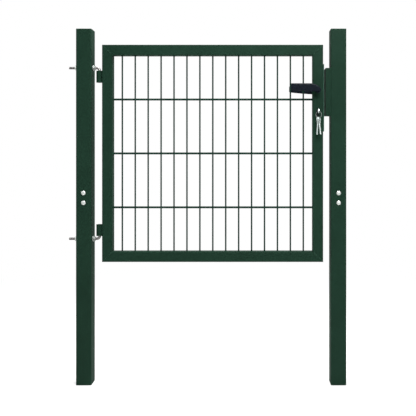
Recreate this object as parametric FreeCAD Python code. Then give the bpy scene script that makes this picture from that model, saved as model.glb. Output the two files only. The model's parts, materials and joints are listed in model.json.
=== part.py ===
import FreeCAD, Part
import math
import os

# Metal garden gate: a square-tube leaf filled with welded wires, hung on two hook bolts
# between two square posts, with a lever handle, a mortise lock, a keep and a bunch of keys.
# Millimetres. The origin is the middle of the hinge post's foot. +X runs to the latch post,
# -Y to the side with the keys, +Z up.

Vec = FreeCAD.Vector
ACROSS = Vec(1, 0, 0)
DEPTH = Vec(0, 1, 0)
UP = Vec(0, 0, 1)

# Posts
OVERALL_WIDTH = 1050.0
POST_HEIGHT = 1384.0
POST_SIZE = 60.0
POST_WALL = 2.0
POST_CORNER = 4.0
CAP_PLATE = 2.0
CAP_SKIRT_DEPTH = 12.0
CAP_SKIRT_WALL = 2.0
CAP_SKIRT_CORNER = 3.0
CAP_FIT = 0.25

# Bolts through each post
POST_BOLT_DROP = 638.0
POST_BOLT_PITCH = 38.0
POST_BOLT_DIAMETER = 8.0
POST_BOLT_HEAD = 18.0
POST_BOLT_RIM = 1.2
POST_BOLT_DOME = 4.0
POST_BOLT_DOME_BANDS = 3
POST_BOLT_END = 3.0
POST_NUT_FLATS = 13.0
POST_NUT_HEIGHT = 6.5
BOLT_HOLE_FIT = 0.3
THREAD_FIT = 0.05

# Leaf frame
HINGE_GAP = 39.0
LATCH_GAP = 29.0
LEAF_DROP = 60.5
LEAF_HEIGHT = 847.0
RAIL_SIZE = 40.0
RAIL_WALL = 2.0
RAIL_CORNER = 3.0

# Welded wires
UPRIGHT_WIRE = 6.0
CROSS_WIRE = 8.0
UPRIGHT_PITCH = 50.7
CROSS_PITCH = 212.0
WIRE_SIDES = 8
WIRE_BITE = 0.5

# Hinges
HINGE_INSET = 88.5
PIN_DIAMETER = 10.0
PIN_REACH = 38.0
PIN_FIT = 0.1
BEND_RADIUS = 11.0
BOLT_TAIL = 34.0
BOLT_CHAMFER = 1.0
BUSH_DIAMETER = 26.0
BUSH_LENGTH = 45.0
BUSH_CLEARANCE = 0.5
BUSH_WELD_GAP = 0.2
BUSH_WELD_WIDTH = 19.0
NUT_FLATS = 17.0
NUT_HEIGHT = 8.0
WASHER_DIAMETER = 21.0
WASHER_THICKNESS = 2.0

# Lock
LOCK_HEIGHT = 668.5
LOCK_BACKSET = 20.0
FACEPLATE_WIDTH = 34.0
FACEPLATE_THICKNESS = 4.0
FACEPLATE_LENGTH = 262.0
FACEPLATE_DROP = 28.0
CASE_THICKNESS = 16.0
CASE_DEPTH = 32.0
CASE_LENGTH = 180.0
CASE_WALL = 1.5
CASE_FIT = 0.5
LATCH_RISE = 17.0
LATCH_HEIGHT = 20.0
LATCH_THICKNESS = 12.0
LATCH_LENGTH = 22.0
LATCH_PROUD = 0.1
DEAD_BOLT_DROP = 50.0
DEAD_BOLT_HEIGHT = 22.0
DEAD_BOLT_THICKNESS = 10.0
DEAD_BOLT_LENGTH = 26.0
BOLT_SLIDE_FIT = 0.2

# Cylinder and keys
CYLINDER_DROP = 81.0
CYLINDER_DIAMETER = 17.0
CYLINDER_HEIGHT = 33.0
CYLINDER_LUG = 10.0
CYLINDER_PROUD = 3.0
CYLINDER_FIT = 0.25
KEY_THICKNESS = 2.2
KEY_BOW_DIAMETER = 20.0
KEY_HOLE_DIAMETER = 8.0
KEY_RIM = 3.0
KEY_NECK_WIDTH = 10.0
KEY_NECK_LENGTH = 6.0
KEY_BLADE_WIDTH = 8.0
KEY_BLADE_LENGTH = 44.0
KEY_TIP = 3.0
KEY_CUT_PITCH = 6.5
KEY_CUT_START = 9.0
KEY_CUT_FLAT = 1.2
KEY_CUT_FLANK = 0.6
KEY_CUT_DEPTHS = (2.0, 1.2, 2.6, 1.6, 2.2)
KEYWAY_FIT = 0.15
RING_DIAMETER = 25.0
RING_WIRE = 2.0
RING_TURN = 35.0
RING_REST_GAP = 0.5
SPARE_SPREAD = 10.0
LEFT_SPARE_LEAN = 4.0
RIGHT_SPARE_LEAN = 6.0
SPARE_TURN = 35.0

# Handles
SPINDLE_SIZE = 8.0
SPINDLE_FIT = 0.1
SPINDLE_HOLE_FIT = 0.6
SOCKET_DEPTH = 28.0
NECK_DIAMETER = 15.0
NECK_FIT = 0.1
NECK_GAP = 0.3
ROSE_DIAMETER = 20.0
ROSE_THICKNESS = 4.0
LEVER_STANDOFF = 26.0
LEVER_THICKNESS = 11.0
LEVER_LENGTH = 108.0
LEVER_TOP = 24.0
LEVER_TIP_RISE = 0.5
LEVER_BELLY = 5.0
LEVER_FLAT = 74.0
LEVER_END_RADIUS = 8.0
LEVER_EDGE = 2.0

# Keep on the latch post
KEEP_WIDTH = 52.0
KEEP_CLEARANCE = 5.2
KEEP_LENGTH = 185.0
KEEP_DROP = 5.5
KEEP_WALL = 2.0
KEEP_SLOT_MARGIN = 4.0

# Places worked out from the sizes above
POST_HALF = POST_SIZE / 2
LATCH_POST_X = OVERALL_WIDTH - POST_SIZE
POST_TUBE_TOP = POST_HEIGHT - CAP_PLATE
LEAF_LEFT = POST_HALF + HINGE_GAP
LEAF_RIGHT = LATCH_POST_X - POST_HALF - LATCH_GAP
LEAF_TOP = POST_HEIGHT - LEAF_DROP
LEAF_BOTTOM = LEAF_TOP - LEAF_HEIGHT
POST_BOLT_HEIGHTS = (POST_HEIGHT - POST_BOLT_DROP - POST_BOLT_PITCH, POST_HEIGHT - POST_BOLT_DROP)
RAIL_HALF = RAIL_SIZE / 2
PIN_RADIUS = PIN_DIAMETER / 2
HINGE_X = LEAF_LEFT - BUSH_WELD_GAP - BUSH_DIAMETER / 2
UPPER_HINGE_Z = LEAF_TOP - HINGE_INSET
LOWER_HINGE_Z = LEAF_BOTTOM + HINGE_INSET
HANDLE_Z = LEAF_BOTTOM + LOCK_HEIGHT
LOCK_X = LEAF_RIGHT - LOCK_BACKSET
FACEPLATE_Z = HANDLE_Z - FACEPLATE_DROP
LATCH_Z = HANDLE_Z + LATCH_RISE
DEAD_BOLT_Z = HANDLE_Z - DEAD_BOLT_DROP
CYLINDER_Z = HANDLE_Z - CYLINDER_DROP
SPINDLE_HOLE = SPINDLE_SIZE / math.sqrt(2) + SPINDLE_HOLE_FIT
KEY_HOLE_RADIUS = KEY_HOLE_DIAMETER / 2
KEY_BOW_RADIUS = KEY_BOW_DIAMETER / 2
BOW_DROP = KEY_BOW_RADIUS - KEY_RIM - KEY_HOLE_RADIUS
KEY_SHOULDER = BOW_DROP + KEY_BOW_RADIUS + KEY_NECK_LENGTH
KEY_HOLE_Y = -RAIL_HALF - CYLINDER_PROUD - KEY_SHOULDER
RING_HANG = KEY_HOLE_RADIUS - RING_WIRE / 2 - RING_REST_GAP


def slab(x0, x1, y0, y1, z0, z1):
    """A plain block between two corners."""
    return Part.makeBox(x1 - x0, y1 - y0, z1 - z0, Vec(x0, y0, z0))


def rounded_bar(low, high, axis, radius):
    """A block whose four long edges, along axis, are rounded."""
    size = high - low
    bar = Part.makeBox(size.x, size.y, size.z, low)
    edges = [e for e in bar.Edges if abs(e.Curve.Direction.dot(axis)) > 0.99]
    return bar.makeFillet(radius, edges)


def square_tube(low, high, axis, wall, corner):
    """A drawn tube between two corners, open at both ends along axis."""
    inset = Vec(wall, wall, wall) - axis * wall
    outside = rounded_bar(low, high, axis, corner)
    inside = rounded_bar(low + inset, high - inset, axis, corner - wall)
    return outside.cut(inside)


def prism(points, sweep):
    """A flat outline pushed along sweep."""
    return Part.Face(Part.makePolygon(points + points[:1])).extrude(sweep)


def cylinder(radius, start, direction, length):
    return Part.makeCylinder(radius, length, start, direction)


def turned(profile):
    """Radius and height pairs turned about the Z axis."""
    face = Part.Face(Part.makePolygon([Vec(r, 0, z) for r, z in profile + profile[:1]]))
    return face.revolve(Vec(0, 0, 0), UP, 360)


def merged(first, *others):
    """Pieces welded or cast as one, without the seams between them."""
    return first.multiFuse(list(others)).removeSplitter()


def hex_nut(flats, height, bore):
    """A nut on the Z axis with corners along X."""
    corner = flats / math.sqrt(3)
    points = [Vec(corner * math.cos(a), corner * math.sin(a), 0)
              for a in (math.radians(60 * i) for i in range(6))]
    return prism(points, UP * height).cut(cylinder(bore, Vec(0, 0, 0), UP, height))


def laid(shape, direction, place):
    """Turns a shape made on the Z axis to point along direction, and puts it at place."""
    turned_shape = shape.copy()
    turned_shape.Placement = FreeCAD.Placement(place, FreeCAD.Rotation(UP, direction))
    return turned_shape


def post(x):
    """A square tube with holes for its two cross bolts."""
    tube = square_tube(Vec(x - POST_HALF, -POST_HALF, 0), Vec(x + POST_HALF, POST_HALF, POST_TUBE_TOP),
                       UP, POST_WALL, POST_CORNER)
    radius = POST_BOLT_DIAMETER / 2 + BOLT_HOLE_FIT
    for z in POST_BOLT_HEIGHTS:
        tube = tube.cut(cylinder(radius, Vec(x, -POST_SIZE, z), DEPTH, 2 * POST_SIZE))
    return tube


def hinge_post():
    """The hinge post also has two holes across for the hook bolts."""
    tube = post(0)
    for z in (UPPER_HINGE_Z, LOWER_HINGE_Z):
        tube = tube.cut(cylinder(PIN_RADIUS + BOLT_HOLE_FIT, Vec(-POST_SIZE, 0, z), ACROSS, 2 * POST_SIZE))
    return tube


def post_cap(x):
    """A flat plate on the post's end, with a skirt that plugs into the tube."""
    plate = rounded_bar(Vec(x - POST_HALF, -POST_HALF, POST_TUBE_TOP),
                        Vec(x + POST_HALF, POST_HALF, POST_HEIGHT), UP, POST_CORNER)
    half = POST_HALF - POST_WALL - CAP_FIT
    skirt = square_tube(Vec(x - half, -half, POST_TUBE_TOP - CAP_SKIRT_DEPTH),
                        Vec(x + half, half, POST_TUBE_TOP), UP, CAP_SKIRT_WALL, CAP_SKIRT_CORNER)
    return merged(plate, skirt)


def post_bolt():
    """A domed bolt on the Z axis: its head's seat is at zero and its shank runs up."""
    reach = POST_SIZE + POST_NUT_HEIGHT + POST_BOLT_END
    shank = POST_BOLT_DIAMETER / 2
    head = POST_BOLT_HEAD / 2
    sphere = (head ** 2 + POST_BOLT_DOME ** 2) / (2 * POST_BOLT_DOME)
    widest = math.asin(head / sphere)
    dome = [(sphere * math.sin(a), sphere * (math.cos(widest) - math.cos(a)) - POST_BOLT_RIM)
            for a in (widest * (1 - i / POST_BOLT_DOME_BANDS) for i in range(POST_BOLT_DOME_BANDS + 1))]
    return turned([(0, reach), (shank, reach), (shank, 0), (head, 0)] + dome)


def mitred_rail(low, high, axis, outline):
    """One tube of the leaf's frame, trimmed to its mitred outline seen from the front."""
    tube = square_tube(low, high, axis, RAIL_WALL, RAIL_CORNER)
    trim = prism([Vec(x, -RAIL_SIZE, z) for x, z in outline], DEPTH * 2 * RAIL_SIZE)
    return tube.common(trim)


def leaf_frame():
    """Four mitred tubes, by name."""
    left, right, low, high = LEAF_LEFT, LEAF_RIGHT, LEAF_BOTTOM, LEAF_TOP
    in_left, in_right = left + RAIL_SIZE, right - RAIL_SIZE
    in_low, in_high = low + RAIL_SIZE, high - RAIL_SIZE
    front, back = -RAIL_HALF, RAIL_HALF
    return {
        "top_rail": mitred_rail(Vec(left, front, in_high), Vec(right, back, high), ACROSS,
                                [(left, high), (right, high), (in_right, in_high), (in_left, in_high)]),
        "bottom_rail": mitred_rail(Vec(left, front, low), Vec(right, back, in_low), ACROSS,
                                   [(left, low), (right, low), (in_right, in_low), (in_left, in_low)]),
        "hinge_stile": mitred_rail(Vec(left, front, low), Vec(in_left, back, high), UP,
                                   [(left, low), (left, high), (in_left, in_high), (in_left, in_low)]),
        "lock_stile": mitred_rail(Vec(in_right, front, low), Vec(right, back, high), UP,
                                  [(right, low), (right, high), (in_right, in_high), (in_right, in_low)]),
    }


def euro_profile(margin, y0, y1):
    """The cylinder's round-and-lug section, grown by margin, from y0 to y1."""
    radius = CYLINDER_DIAMETER / 2 + margin
    lug = CYLINDER_LUG / 2 + margin
    lug_z = CYLINDER_Z + CYLINDER_DIAMETER / 2 - CYLINDER_HEIGHT + CYLINDER_LUG / 2
    length = y1 - y0
    barrel = cylinder(radius, Vec(LOCK_X, y0, CYLINDER_Z), DEPTH, length)
    web = slab(LOCK_X - lug, LOCK_X + lug, y0, y1, lug_z, CYLINDER_Z)
    foot = cylinder(lug, Vec(LOCK_X, y0, lug_z), DEPTH, length)
    return merged(barrel, web, foot)


def case_block(margin):
    """The lock case's outer block, grown by margin."""
    half = CASE_THICKNESS / 2 + margin
    return slab(LEAF_RIGHT - CASE_DEPTH - margin, LEAF_RIGHT, -half, half,
                FACEPLATE_Z - CASE_LENGTH / 2 - margin, FACEPLATE_Z + CASE_LENGTH / 2 + margin)


def cut_for_lock(stile):
    """The slot for the case, and the holes for the spindle and the cylinder."""
    spindle = cylinder(SPINDLE_HOLE, Vec(LOCK_X, -RAIL_SIZE, HANDLE_Z), DEPTH, 2 * RAIL_SIZE)
    return stile.cut([case_block(CASE_FIT), spindle, euro_profile(CYLINDER_FIT, -RAIL_SIZE, RAIL_SIZE)])


def wire(diameter, start, direction, side, length):
    """A straight wire drawn with few sides, a flat of it facing side."""
    corner = diameter / 2 / math.cos(math.pi / WIRE_SIDES)
    other = direction.cross(side)
    angles = [math.pi * (2 * i + 1) / WIRE_SIDES for i in range(WIRE_SIDES)]
    points = [start + side * (corner * math.cos(a)) + other * (corner * math.sin(a)) for a in angles]
    return prism(points, direction * length)


def centred_places(low, high, pitch):
    """Places a pitch apart, as many as fit, centred between low and high."""
    count = int((high - low) / pitch)
    first = (low + high - (count - 1) * pitch) / 2
    return [first + i * pitch for i in range(count)]


def mesh_panel():
    """Upright wires on the front of the cross wires, welded where they meet."""
    left, right = LEAF_LEFT + RAIL_SIZE, LEAF_RIGHT - RAIL_SIZE
    low, high = LEAF_BOTTOM + RAIL_SIZE, LEAF_TOP - RAIL_SIZE
    upright_y = (WIRE_BITE - UPRIGHT_WIRE) / 2
    cross_y = (CROSS_WIRE - WIRE_BITE) / 2
    uprights = [wire(UPRIGHT_WIRE, Vec(x, upright_y, low), UP, DEPTH, high - low)
                for x in centred_places(left, right, UPRIGHT_PITCH)]
    crosses = [wire(CROSS_WIRE, Vec(left, cross_y, z), ACROSS, DEPTH, right - left)
               for z in centred_places(low, high, CROSS_PITCH)]
    return crosses[0].multiFuse(crosses[1:] + uprights)


def hook_bolt(z, way):
    """A threaded rod through the post, bent into a pin that points up (way 1) or down (-1)."""
    tail_x = -POST_HALF - BOLT_TAIL
    bend_x = HINGE_X - BEND_RADIUS
    pin_z = z + way * BEND_RADIUS
    tail = turned([(0, 0), (PIN_RADIUS - BOLT_CHAMFER, 0), (PIN_RADIUS, BOLT_CHAMFER),
                   (PIN_RADIUS, bend_x - tail_x), (0, bend_x - tail_x)])
    pin = turned([(0, 0), (PIN_RADIUS, 0), (PIN_RADIUS, PIN_REACH - BOLT_CHAMFER),
                  (PIN_RADIUS - BOLT_CHAMFER, PIN_REACH), (0, PIN_REACH)])
    section = Part.Face(Part.Wire(Part.makeCircle(PIN_RADIUS, Vec(bend_x, 0, z), ACROSS)))
    bend = section.revolve(Vec(bend_x, 0, pin_z), DEPTH * -way, 90)
    return merged(laid(tail, ACROSS, Vec(tail_x, 0, z)), bend, laid(pin, UP * way, Vec(HINGE_X, 0, pin_z)))


def bush(z, way):
    """A turned bush beside the stile, its end next to the hook bolt's bend, with its weld."""
    end = z + way * (BEND_RADIUS + BUSH_CLEARANCE)
    bottom = min(end, end + way * BUSH_LENGTH)
    start = Vec(HINGE_X, 0, bottom)
    toe = BUSH_WELD_WIDTH / 2
    root = Vec(math.sqrt((BUSH_DIAMETER / 2) ** 2 - toe ** 2), toe, 0)
    face = Vec(LEAF_LEFT - HINGE_X, toe, 0)
    outline = [root, face, Vec(face.x, -toe, 0), Vec(root.x, -toe, 0)]
    weld = prism([start + point for point in outline], UP * BUSH_LENGTH)
    barrel = cylinder(BUSH_DIAMETER / 2, start, UP, BUSH_LENGTH)
    return merged(barrel, weld).cut(cylinder(PIN_RADIUS + PIN_FIT, start, UP, BUSH_LENGTH))


def hinge_washer():
    ring = cylinder(WASHER_DIAMETER / 2, Vec(0, 0, 0), UP, WASHER_THICKNESS)
    return ring.cut(cylinder(PIN_RADIUS + BOLT_HOLE_FIT, Vec(0, 0, 0), UP, WASHER_THICKNESS))


def lock_case():
    """A pressed box behind the faceplate, open towards it, with its works left out."""
    half = CASE_THICKNESS / 2 - CASE_WALL
    low, high = FACEPLATE_Z - CASE_LENGTH / 2 + CASE_WALL, FACEPLATE_Z + CASE_LENGTH / 2 - CASE_WALL
    hollow = slab(LEAF_RIGHT - CASE_DEPTH + CASE_WALL, LEAF_RIGHT, -half, half, low, high)
    spindle = cylinder(SPINDLE_HOLE, Vec(LOCK_X, -RAIL_HALF, HANDLE_Z), DEPTH, RAIL_SIZE)
    return case_block(0).cut([hollow, spindle, euro_profile(CYLINDER_FIT, -RAIL_HALF, RAIL_HALF)])


def slide_block(length, proud, thickness, height, z, margin):
    """The block of a latch or bolt that ends proud of the faceplate, grown by margin."""
    face = LEAF_RIGHT + FACEPLATE_THICKNESS
    return slab(face + proud - length, face + proud, -thickness / 2 - margin, thickness / 2 + margin,
                z - height / 2 - margin, z + height / 2 + margin)


def latch_block(margin):
    return slide_block(LATCH_LENGTH, LATCH_PROUD, LATCH_THICKNESS, LATCH_HEIGHT, LATCH_Z, margin)


def dead_bolt(margin):
    return slide_block(DEAD_BOLT_LENGTH, 0, DEAD_BOLT_THICKNESS, DEAD_BOLT_HEIGHT, DEAD_BOLT_Z, margin)


def latch_bolt():
    """The drawn-back latch, with one cheek sloped so that it can ride over the keep."""
    nose = LEAF_RIGHT + FACEPLATE_THICKNESS + LATCH_PROUD
    half = LATCH_THICKNESS / 2
    low, height = LATCH_Z - LATCH_HEIGHT / 2, LATCH_HEIGHT
    slope = prism([Vec(nose, half, low), Vec(nose, -half + CASE_WALL, low),
                   Vec(nose - LATCH_THICKNESS + CASE_WALL, half, low)], UP * height)
    return latch_block(0).cut(slope)


def lock_faceplate():
    """The strip on the stile's edge, with openings for the latch and the dead bolt."""
    half = FACEPLATE_WIDTH / 2
    strip = slab(LEAF_RIGHT, LEAF_RIGHT + FACEPLATE_THICKNESS, -half, half,
                 FACEPLATE_Z - FACEPLATE_LENGTH / 2, FACEPLATE_Z + FACEPLATE_LENGTH / 2)
    return strip.cut([latch_block(BOLT_SLIDE_FIT), dead_bolt(BOLT_SLIDE_FIT)])


def lock_cylinder():
    """The cylinder's round and lug from side to side, with the keyway through its plug."""
    reach = RAIL_HALF + CYLINDER_PROUD
    half_width = KEY_THICKNESS / 2 + KEYWAY_FIT
    half_height = KEY_BLADE_WIDTH / 2 + KEYWAY_FIT
    keyway = slab(LOCK_X - half_width, LOCK_X + half_width, -reach, reach,
                  CYLINDER_Z - half_height, CYLINDER_Z + half_height)
    return euro_profile(0, -reach, reach).cut(keyway)


def key():
    """A key that hangs from the hole in its bow, with the hole at the origin, flat in the XZ plane."""
    half = KEY_BLADE_WIDTH / 2
    tip = -KEY_SHOULDER - KEY_BLADE_LENGTH
    outline = [(-half, tip + KEY_TIP), (-half, -KEY_SHOULDER), (half, -KEY_SHOULDER)]
    for i, depth in enumerate(KEY_CUT_DEPTHS):
        z = -KEY_SHOULDER - KEY_CUT_START - i * KEY_CUT_PITCH
        flat = KEY_CUT_FLAT / 2
        flank = flat + depth * KEY_CUT_FLANK
        outline += [(half, z + flank), (half - depth, z + flat), (half - depth, z - flat), (half, z - flank)]
    outline += [(half, tip + KEY_TIP), (0, tip)]
    start = -KEY_THICKNESS / 2
    blade = prism([Vec(x, start, z) for x, z in outline], DEPTH * KEY_THICKNESS)
    bow = cylinder(KEY_BOW_RADIUS, Vec(0, start, -BOW_DROP), DEPTH, KEY_THICKNESS)
    neck = slab(-KEY_NECK_WIDTH / 2, KEY_NECK_WIDTH / 2, start, -start, -KEY_SHOULDER, -BOW_DROP)
    hole = cylinder(KEY_HOLE_RADIUS, Vec(0, start, 0), DEPTH, KEY_THICKNESS)
    return merged(bow, neck, blade).cut(hole)


def key_in_lock():
    """The key in the cylinder: blade along +Y, bow upright and edge-on from the front."""
    shape = key()
    turn = FreeCAD.Rotation(ACROSS, 90).multiply(FreeCAD.Rotation(UP, 90))
    shape.Placement = FreeCAD.Placement(Vec(LOCK_X, KEY_HOLE_Y, CYLINDER_Z), turn)
    return shape


def ring_frame():
    """The ring's centre and its sideways direction."""
    centre = Vec(LOCK_X, KEY_HOLE_Y, CYLINDER_Z - RING_HANG - RING_DIAMETER / 2)
    turn = math.radians(RING_TURN)
    return centre, Vec(math.cos(turn), -math.sin(turn), 0)


def key_ring():
    """A ring of few-sided wire through the bows."""
    centre, side = ring_frame()
    axis = side.cross(UP)
    corner = RING_WIRE / 2 / math.cos(math.pi / WIRE_SIDES)
    angles = [math.pi * (2 * i + 1) / WIRE_SIDES for i in range(WIRE_SIDES)]
    section = [centre + side * (RING_DIAMETER / 2 + corner * math.cos(a)) + axis * (corner * math.sin(a))
               for a in angles]
    return Part.Face(Part.makePolygon(section + section[:1])).revolve(centre, axis, 360)


def spare_key(way, lean):
    """A key that hangs on the ring's lowest stretch, left (-1) or right (1) of its middle."""
    centre, side = ring_frame()
    spread = math.radians(SPARE_SPREAD)
    out = side * (way * math.sin(spread)) - UP * math.cos(spread)
    turn = FreeCAD.Rotation(UP, 90 - SPARE_TURN).multiply(FreeCAD.Rotation(ACROSS, -way * lean))
    shape = key()
    place = centre + out * (RING_DIAMETER / 2) + turn.multVec(-UP) * RING_HANG
    shape.Placement = FreeCAD.Placement(place, turn)
    return shape


def lever_outline(y):
    """The lever's face seen from the front, round at the spindle and square at its free end."""
    def at(out, up):
        return Vec(LOCK_X - out, y, HANDLE_Z + up)

    nose = LEVER_END_RADIUS
    bend = LEVER_LENGTH - LEVER_FLAT
    fall = (bend ** 2 + LEVER_TOP ** 2 - nose ** 2) / (2 * (LEVER_TOP - nose))
    tangent = math.atan2(bend, fall - LEVER_TOP)
    joint = at(-nose * math.sin(tangent), nose * math.cos(tangent))
    halfway = at(bend - fall * math.sin(tangent / 2), LEVER_TOP - fall + fall * math.cos(tangent / 2))
    top = Part.makeLine(at(LEVER_LENGTH, LEVER_TOP), at(bend, LEVER_TOP))
    shoulder = Part.Arc(at(bend, LEVER_TOP), halfway, joint).toShape()
    end = Part.Arc(joint, at(-nose, 0), at(0, -nose)).toShape()
    tip_low = at(LEVER_LENGTH, LEVER_TIP_RISE)
    belly = Part.Arc(at(0, -nose), at(LEVER_LENGTH / 2, -LEVER_BELLY), tip_low).toShape()
    tip = Part.makeLine(tip_low, at(LEVER_LENGTH, LEVER_TOP))
    return Part.Face(Part.Wire([top, shoulder, end, belly, tip]))


def front_handle():
    """A lever with softened edges on a round neck, with a square socket for the spindle."""
    back = -RAIL_HALF - LEVER_STANDOFF
    blade = lever_outline(back).extrude(DEPTH * -LEVER_THICKNESS)
    blade = blade.makeChamfer(LEVER_EDGE, blade.Edges)
    neck_start = -RAIL_HALF - NECK_GAP
    middle = back - LEVER_THICKNESS / 2
    neck = cylinder(NECK_DIAMETER / 2, Vec(LOCK_X, neck_start, HANDLE_Z), -DEPTH, neck_start - middle)
    half = SPINDLE_SIZE / 2 + SPINDLE_FIT
    socket = slab(LOCK_X - half, LOCK_X + half, neck_start - SOCKET_DEPTH, neck_start,
                  HANDLE_Z - half, HANDLE_Z + half)
    return merged(blade, neck).cut(socket)


def handle_spindle():
    """The square bar through the lock, reaching almost to the bottom of both sockets."""
    half = SPINDLE_SIZE / 2
    reach = RAIL_HALF + NECK_GAP + SOCKET_DEPTH - SPINDLE_FIT
    return slab(LOCK_X - half, LOCK_X + half, -reach, reach, HANDLE_Z - half, HANDLE_Z + half)


def front_rose():
    """The round collar that carries the lever's neck."""
    seat = Vec(LOCK_X, -RAIL_HALF, HANDLE_Z)
    disc = cylinder(ROSE_DIAMETER / 2, seat, -DEPTH, ROSE_THICKNESS)
    return disc.cut(cylinder(NECK_DIAMETER / 2 + NECK_FIT, seat, -DEPTH, ROSE_THICKNESS))


def keep_box():
    """The box on the latch post that the latch and the dead bolt shoot into, open to the post."""
    back = LATCH_POST_X - POST_HALF
    front = LEAF_RIGHT + FACEPLATE_THICKNESS + KEEP_CLEARANCE
    half = KEEP_WIDTH / 2
    low = HANDLE_Z - KEEP_DROP - KEEP_LENGTH / 2
    high = low + KEEP_LENGTH
    shell = slab(front, back, -half, half, low, high)
    cuts = [slab(front + KEEP_WALL, back, -half + KEEP_WALL, half - KEEP_WALL,
                 low + KEEP_WALL, high - KEEP_WALL)]
    for z, height, thickness in ((LATCH_Z, LATCH_HEIGHT, LATCH_THICKNESS),
                                 (DEAD_BOLT_Z, DEAD_BOLT_HEIGHT, DEAD_BOLT_THICKNESS)):
        half_y = thickness / 2 + KEEP_SLOT_MARGIN
        half_z = height / 2 + KEEP_SLOT_MARGIN
        cuts.append(slab(front, front + KEEP_WALL, -half_y, half_y, z - half_z, z + half_z))
    return shell.cut(cuts)


def mirrored_to_back(shape):
    return shape.mirror(Vec(0, 0, 0), DEPTH)


def build():
    """Every node by name."""
    nodes = {
        "hinge_post": hinge_post(),
        "latch_post": post(LATCH_POST_X),
        "hinge_post_cap": post_cap(0),
        "latch_post_cap": post_cap(LATCH_POST_X),
        "mesh_panel": mesh_panel(),
        "lock_case": lock_case(),
        "lock_faceplate": lock_faceplate(),
        "latch_bolt": latch_bolt(),
        "dead_bolt": dead_bolt(0),
        "lock_cylinder": lock_cylinder(),
        "key_in_lock": key_in_lock(),
        "key_ring": key_ring(),
        "left_spare_key": spare_key(-1, LEFT_SPARE_LEAN),
        "right_spare_key": spare_key(1, RIGHT_SPARE_LEAN),
        "front_handle": front_handle(),
        "back_handle": mirrored_to_back(front_handle()),
        "handle_spindle": handle_spindle(),
        "front_rose": front_rose(),
        "back_rose": mirrored_to_back(front_rose()),
        "keep_box": keep_box(),
    }
    nodes.update(leaf_frame())
    nodes["lock_stile"] = cut_for_lock(nodes["lock_stile"])
    nodes.update(hinge_hardware())
    nodes.update(post_bolts())
    return nodes


def hinge_hardware():
    """Both hook bolts with their bushes, and a washer and nut on each side of the post."""
    parts = {}
    bore = PIN_RADIUS + THREAD_FIT
    for name, z, way in (("upper", UPPER_HINGE_Z, -1), ("lower", LOWER_HINGE_Z, 1)):
        parts[name + "_hinge_bolt"] = hook_bolt(z, way)
        parts[name + "_hinge_bush"] = bush(z, way)
        for side, out in (("outer", -1), ("inner", 1)):
            way_out = ACROSS * out
            seat = Vec(out * POST_HALF, 0, z)
            nut_seat = seat + way_out * WASHER_THICKNESS
            parts[f"{name}_{side}_washer"] = laid(hinge_washer(), way_out, seat)
            parts[f"{name}_{side}_nut"] = laid(hex_nut(NUT_FLATS, NUT_HEIGHT, bore), way_out, nut_seat)
    return parts


def post_bolts():
    """Two domed bolts through each post from the front, with a nut at the back."""
    parts = {}
    bore = POST_BOLT_DIAMETER / 2 + THREAD_FIT
    for name, x in (("hinge", 0), ("latch", LATCH_POST_X)):
        for level, z in zip(("lower", "upper"), POST_BOLT_HEIGHTS):
            nut = hex_nut(POST_NUT_FLATS, POST_NUT_HEIGHT, bore)
            parts[f"{name}_post_{level}_bolt"] = laid(post_bolt(), DEPTH, Vec(x, -POST_HALF, z))
            parts[f"{name}_post_{level}_nut"] = laid(nut, DEPTH, Vec(x, POST_HALF, z))
    return parts


os.makedirs("parts", exist_ok=True)
for name, shape in build().items():
    shape.exportStep(f"parts/{name}.step")
    print(name, shape.isValid(), len(shape.Solids), round(shape.Volume))
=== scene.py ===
# %% [markdown]
# # A metal garden gate
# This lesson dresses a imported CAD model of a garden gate: two square posts and a leaf of square tube,
# filled with welded wires. The leaf hangs on two hook bolts. A mortise lock with lever handles, a keep box
# on the far post and a bunch of keys complete it. The CAD model fixes every size and place. What is left
# for Blender is the finish of each part, and the small forms that CAD leaves plain: round wires and their
# welds, threads, chamfered nuts, moulded levers, coined keys and a coiled split ring.
#
# We could model in Blender's window, but a script can be read, changed and run again. All lengths here are
# in metres, in the CAD model's own frame: X runs from the hinge post to the latch post, the side with the
# keys faces -Y, and Z is up. Small sizes are easier to think of in millimetres, so MM converts them, and
# RIGHT, BACK and UP name the three directions.

import json
import math
import random

import bmesh
import bpy
from mathutils import Matrix, Vector


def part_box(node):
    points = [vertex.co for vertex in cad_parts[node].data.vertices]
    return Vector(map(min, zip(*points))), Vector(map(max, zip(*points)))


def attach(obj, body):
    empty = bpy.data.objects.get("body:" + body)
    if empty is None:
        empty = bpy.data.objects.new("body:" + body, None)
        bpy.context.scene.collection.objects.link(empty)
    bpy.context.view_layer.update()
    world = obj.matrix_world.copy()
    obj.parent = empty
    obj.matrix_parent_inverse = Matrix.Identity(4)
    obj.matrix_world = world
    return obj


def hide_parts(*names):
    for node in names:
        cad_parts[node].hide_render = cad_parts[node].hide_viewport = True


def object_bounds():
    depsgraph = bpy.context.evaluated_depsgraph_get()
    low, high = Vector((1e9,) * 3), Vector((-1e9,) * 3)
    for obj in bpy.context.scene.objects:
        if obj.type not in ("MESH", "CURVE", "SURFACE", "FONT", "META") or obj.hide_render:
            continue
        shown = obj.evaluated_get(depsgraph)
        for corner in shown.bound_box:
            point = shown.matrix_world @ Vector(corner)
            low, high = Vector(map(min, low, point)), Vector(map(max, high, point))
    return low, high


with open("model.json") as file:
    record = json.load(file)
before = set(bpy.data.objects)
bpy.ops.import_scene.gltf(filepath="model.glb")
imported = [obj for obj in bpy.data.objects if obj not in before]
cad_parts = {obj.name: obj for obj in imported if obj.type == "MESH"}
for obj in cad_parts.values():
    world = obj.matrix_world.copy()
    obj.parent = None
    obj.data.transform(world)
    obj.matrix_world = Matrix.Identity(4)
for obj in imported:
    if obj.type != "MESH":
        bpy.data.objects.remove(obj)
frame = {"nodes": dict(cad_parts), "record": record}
cad_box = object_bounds()
nodes = frame["nodes"]
MM = 0.001
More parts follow.
